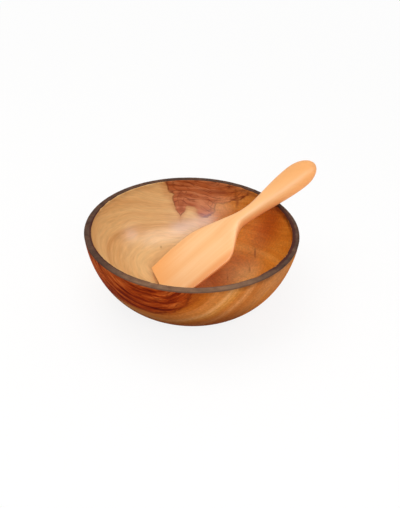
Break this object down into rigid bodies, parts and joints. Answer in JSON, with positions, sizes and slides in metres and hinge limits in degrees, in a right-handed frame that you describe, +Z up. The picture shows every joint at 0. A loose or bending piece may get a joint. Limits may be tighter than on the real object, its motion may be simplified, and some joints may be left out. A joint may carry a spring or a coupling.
{
  "type": "salad bowl",
  "caption": "Round turned wooden salad bowl with a full side, flat foot and dark rim band, holding a carved wooden server whose handle rests over the rim.",
  "frame": {"origin": "centre of the foot, on the surface that the bowl stands on", "axes": "+Z up along the axis the bowl was turned about; the picture's camera looks along +Y, so +X is the picture's right and the server's handle lies over the rim towards +X and +Y"},
  "size_m": [0.2751, 0.2498, 0.1341],
  "materials": {
    "bowl_wood": "oiled, satin, strongly figured olive wood",
    "rim_band": "matte dark grey-brown bark",
    "server_wood": "smooth satin pale fruitwood"
  },
  "bodies": {
    "bowl_body": {"bowl": "bowl_wood", "rim_band": "rim_band"},
    "server_body": {"server": "server_wood"}
  },
  "joints": [
    {"name": "server_lift", "type": "slide", "parent": "bowl_body", "child": "server_body", "axis": [0, 0, 1], "range_m": [0, 0.12]}
  ]
}
